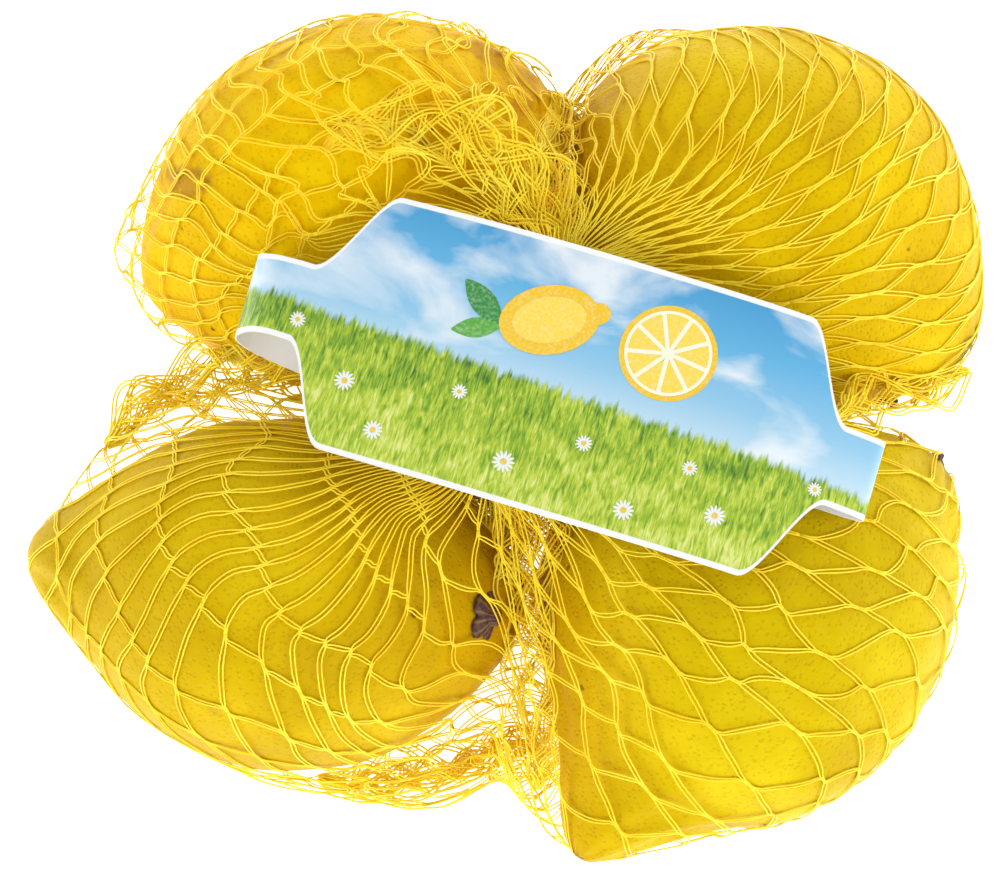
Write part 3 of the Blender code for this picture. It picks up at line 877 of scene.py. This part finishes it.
def printed_film():
    """Satin polyethylene film printed with a meadow under a blue sky: soft white clouds above, and below a
    feathery edge grass of fine leaning blades that is darker at its far side. A white margin runs round it,
    and the back is bare white."""
    material, tree, shader = new_finish(
        "printed_satin_film", Roughness=0.42, IOR=1.5, Coat_Weight=0.15, Coat_Roughness=0.3
    )
    along, across = carried(tree, "along"), carried(tree, "across")
    spot = add_node(tree, "ShaderNodeCombineXYZ", {"X": along, "Y": across})

    def times_and_plus(value, factor, more):
        return reckon(tree, "MULTIPLY_ADD", value, factor, more)

    def strokes(stretch, detail, distortion=0.0, turn=0.0):
        """Noise drawn out one way: its patches along and across the band, per millimetre, and its turn."""
        drawn_out = {"Vector": spot, "Scale": (*stretch, 1.0), "Rotation": (0.0, 0.0, turn)}
        drawn_out = add_node(tree, "ShaderNodeMapping", drawn_out)
        inputs = {"Vector": drawn_out, "Scale": 1.0, "Detail": detail, "Distortion": distortion}
        return add_node(tree, "ShaderNodeTexNoise", inputs)

    sky_height = ramp(tree, across, -4.0, 21.0)
    blues = (0.0, "#C3DDEC"), (0.3, "#8FC4E3"), (0.65, "#5FAEDB"), (1.0, "#3E97CB")
    billows = times_and_plus(sky_height, 0.22, strokes((0.045, 0.085), 6.0, 0.4))
    cloud = reckon(tree, "MULTIPLY", ramp(tree, billows, 0.60, 0.76), 0.85)
    sky = blend(tree, cloud, tints(tree, sky_height, *blues), "#EDF1F3")

    lightness = times_and_plus(strokes((0.12, 0.2), 2.0), 0.35, -0.17)
    lightness = times_and_plus(strokes((1.5, 0.42), 3.0, 0.8, -0.45), 0.45, lightness)
    lightness = times_and_plus(strokes((2.3, 0.30), 4.0, 1.2, 0.25), 0.55, lightness)
    lightness = times_and_plus(ramp(tree, across, -1.0, -19.0), 0.13, lightness)
    greens = (0.36, "#3F6B1C"), (0.46, "#6E9A22"), (0.54, "#93B42A"), (0.63, "#B8CC3C"), (0.76, "#DDE486")
    horizon = times_and_plus(along, 0.04, times_and_plus(strokes((1.1, 0.05), 2.0, 0.6), 5.0, across))
    picture = blend(tree, ramp(tree, horizon, 0.4, 1.6), tints(tree, lightness, *greens), sky)
    inside = ramp(tree, carried(tree, "to_edge"), 0.75, 0.9)
    face = blend(tree, reckon(tree, "MULTIPLY", inside, carried(tree, "printed")), "#F1F3F3", picture)
    creases = add_node(tree, "ShaderNodeTexNoise", {"Vector": spot, "Scale": 0.22, "Detail": 2.0})
    finish_with(shader, face, creases, 0.35, 0.4)
    return material


add_piece("band", band_mesh, printed_film(), "label_band")


# The shapes printed on the band, each as a skin of ink a few hundredths of a millimetre thick: daisies in
# the grass, and a lemon slice and a whole lemon with leaves in the sky, all flat simple figures.
INK_LIFT = 0.03
DAISIES = [
    (-40.5, -2.8, 1.3), (-30.5, -9.5, 1.6), (-24.0, -15.6, 1.5), (-13.5, -6.2, 1.2), (-4.0, -14.6, 1.7),
    (6.5, -8.4, 1.3), (15.0, -16.4, 1.6), (22.5, -7.4, 1.2), (28.0, -13.2, 1.6), (41.0, -4.6, 1.1),
]
SLICE_MIDDLE, SLICE_RADIUS, SLICE_PARTS = (14.5, 8.6), 7.4, 9
WHOLE_MIDDLE, WHOLE_HALF, WHOLE_TURN = (-4.0, 8.4), (7.6, 5.4), 0.42


def on_film(flat, lift):
    """Points given along and across the band, as points just over its printed face."""
    order = np.argsort(distance)
    course = [np.interp(flat[:, 0], distance[order], part[order]) for part in (*loop.T, *outward.T)]
    course = np.stack(course, -1)
    sideways = flat[:, 1] / band_half_width(flat[:, 0])
    layer = np.full((len(flat), 1), BAND_OUTER) + lift[:, None]
    return band_points(course[:, :2], course[:, 2:], flat[:, 0], sideways[:, None], layer)[0][:, 0]


def figure(middle, reach, turned=0.0, taper=0.0, rings=5, sides=26):
    """A flat oval or leaf as rings of points round its middle: its two half lengths, how far it is turned,
    and how far its ends are drawn out to points."""
    share = np.linspace(0.03, 1, rings)[:, None]
    turn = np.linspace(0, 2 * math.pi, sides, endpoint=False)[None, :]
    x = share * reach[0] * np.cos(turn)
    y = share * reach[1] * np.sin(turn) * (1 - taper * np.cos(turn) ** 2)
    cos, sin = math.cos(turned), math.sin(turned)
    return np.stack([middle[0] + x * cos - y * sin, middle[1] + x * sin + y * cos], -1)


def wedge(middle, near, far, turned, spread, rings=7, sides=7):
    """One part of a slice: a flat sector with room left between it and the next."""
    share = np.linspace(0, 1, rings)[:, None]
    radius = near + (far - near) * share
    turn = turned + np.linspace(-1, 1, sides)[None, :] * (spread - 0.35 / np.maximum(radius, 0.8))
    return np.stack([middle[0] + radius * np.cos(turn), middle[1] + radius * np.sin(turn)], -1)


def printing_ink():
    """Ink on film: its own flat colour, a little uneven as a printing plate lays it down."""
    material, tree, shader = new_finish("printing_ink", Roughness=0.42, IOR=1.5, Coat_Weight=0.15)
    screen = noise(tree, add_node(tree, "ShaderNodeTexCoord", out="Object"), 0.5, 3.0)
    tint = blend(tree, ramp(tree, screen, 0.45, 0.8, 0.0, 0.3), carried(tree, "ink", "Color"), "#F6F6EE")
    finish_with(shader, tint, screen, 0.2, 0.02)
    return material


def printed_mesh(name, shapes):
    """One mesh of many flat shapes: each a grid of flat points, its height in layers of ink, its colour, and
    whether it closes round a middle."""
    points, faces, inks = np.empty((0, 3)), [], []
    for flat, layer, tint, closed in shapes:
        index = len(points) + np.arange(flat.size // 2).reshape(flat.shape[:2])
        ink_height = np.full(index.size, INK_LIFT * layer)
        points = np.concatenate([points, on_film(flat.reshape(-1, 2), ink_height)])
        inks += colour(tint) * index.size
        if closed:
            faces.append(index[0].tolist())
            index = np.column_stack([index, index[:, 0]])
        faces += grid_quads(index.T)
    mesh = new_mesh(name, points, faces)
    mesh.attributes.new("ink", "FLOAT_COLOR", "POINT").data.foreach_set("color", inks)
    return mesh


ink = printing_ink()
daisy_shapes = []
for count, (x, y, size) in enumerate(DAISIES):
    for petal in range(13):
        way = 2 * math.pi * petal / 13 + count
        middle = (x + 0.62 * size * math.cos(way), y + 0.62 * size * math.sin(way))
        white = figure(middle, (0.40 * size, 0.13 * size), way, 0.2, 3, 12)
        daisy_shapes.append((white, 1, "#E9EEE8", True))
    daisy_shapes.append((figure((x, y), (0.28 * size, 0.28 * size), 0, 0, 3, 16), 2, "#E9C32B", True))
add_piece("print_daisies", printed_mesh("daisies", daisy_shapes), ink, "label_band")

lemon_shapes = []
for radius, layer, tint in ((SLICE_RADIUS, 1, "#F0C419"), (0.89 * SLICE_RADIUS, 2, "#F9F4D6")):
    lemon_shapes.append((figure(SLICE_MIDDLE, (radius, radius), rings=8, sides=60), layer, tint, True))
for part in range(SLICE_PARTS):
    way = 2 * math.pi * (part + 0.3) / SLICE_PARTS
    sector = wedge(SLICE_MIDDLE, 0.9, 0.82 * SLICE_RADIUS, way, math.pi / SLICE_PARTS)
    lemon_shapes.append((sector[:, ::-1], 3, "#F3D64A", False))
tip = (math.cos(WHOLE_TURN), math.sin(WHOLE_TURN))
for reach, tint, layer in ((WHOLE_HALF, "#F0C419", 2), ((5.6, 3.6), "#F5D64C", 3)):
    lemon_shapes.append((figure(WHOLE_MIDDLE, reach, WHOLE_TURN, rings=7, sides=40), layer, tint, True))
nub = (WHOLE_MIDDLE[0] + 7.4 * tip[0], WHOLE_MIDDLE[1] + 7.4 * tip[1])
lemon_shapes.append((figure(nub, (1.9, 1.7), WHOLE_TURN), 1, "#F0C419", True))
for turned, length, tint in ((2.5, 4.6, "#2E8B3C"), (3.5, 3.8, "#57A83A")):
    stem = (WHOLE_MIDDLE[0] - 7.2 * tip[0], WHOLE_MIDDLE[1] - 7.2 * tip[1])
    leaf = (stem[0] + length * math.cos(turned), stem[1] + length * math.sin(turned))
    lemon_shapes.append((figure(leaf, (length, 0.42 * length), turned, 0.55), 1, tint, True))
add_piece("print_lemons", printed_mesh("lemons", lemon_shapes), ink, "label_band")


# The floor and the light: a white table, and the soft light of a white studio that comes more from the sides
# than from above, so that the fruit is brightest round its rims.
TABLE_SIZE = 6.0
SOFTBOX_DISTANCE = 1.1
table_mesh = bpy.data.meshes.new("table")
half = TABLE_SIZE / 2
corners = [(-half, -half, 0), (half, -half, 0), (half, half, 0), (-half, half, 0)]
table_mesh.from_pydata(corners, [], [(0, 1, 2, 3)])
table_mesh.materials.append(new_finish(
    "white_board", Roughness=0.6, Base_Color=colour("#FAFAF9"), Emission_Color=colour("#FFFFFF"),
    Emission_Strength=0.9,
)[0])
table = bpy.data.objects.new("table", table_mesh)
bpy.context.scene.collection.objects.link(table)


def add_softbox(name, azimuth, height, size, power):
    """A square area light that shines at the pack from this direction, given in degrees."""
    light = bpy.data.lights.new(name, "AREA")
    light.shape, light.size, light.energy = "SQUARE", size, power
    way = lemon_axes(azimuth, height)[0]
    lamp = bpy.data.objects.new(name, light)
    lamp.location = way * SOFTBOX_DISTANCE
    lamp.rotation_euler = Vector(-way).to_track_quat("-Z", "Y").to_euler()
    bpy.context.scene.collection.objects.link(lamp)


add_softbox("softbox_left", 200, 22, 0.7, 4.2)
add_softbox("softbox_right", -12, 22, 0.7, 4.2)
add_softbox("softbox_back", 70, 24, 0.7, 3.8)
add_softbox("softbox_front", -80, 34, 0.6, 3.0)

world = bpy.data.worlds.new("studio")
world.use_nodes = True
background = world.node_tree.nodes["Background"]
sky_way = add_node(world.node_tree, "ShaderNodeTexCoord", out="Generated")
up_way = add_node(world.node_tree, "ShaderNodeSeparateXYZ", {"Vector": sky_way}, out="Z")
dome = tints(world.node_tree, up_way, (0.0, "#FFFFFF"), (0.4, "#EDEDED"), (0.9, "#C8C8C8"))
world.node_tree.links.new(dome, background.inputs["Color"])
background.inputs["Strength"].default_value = 0.95
bpy.context.scene.world = world
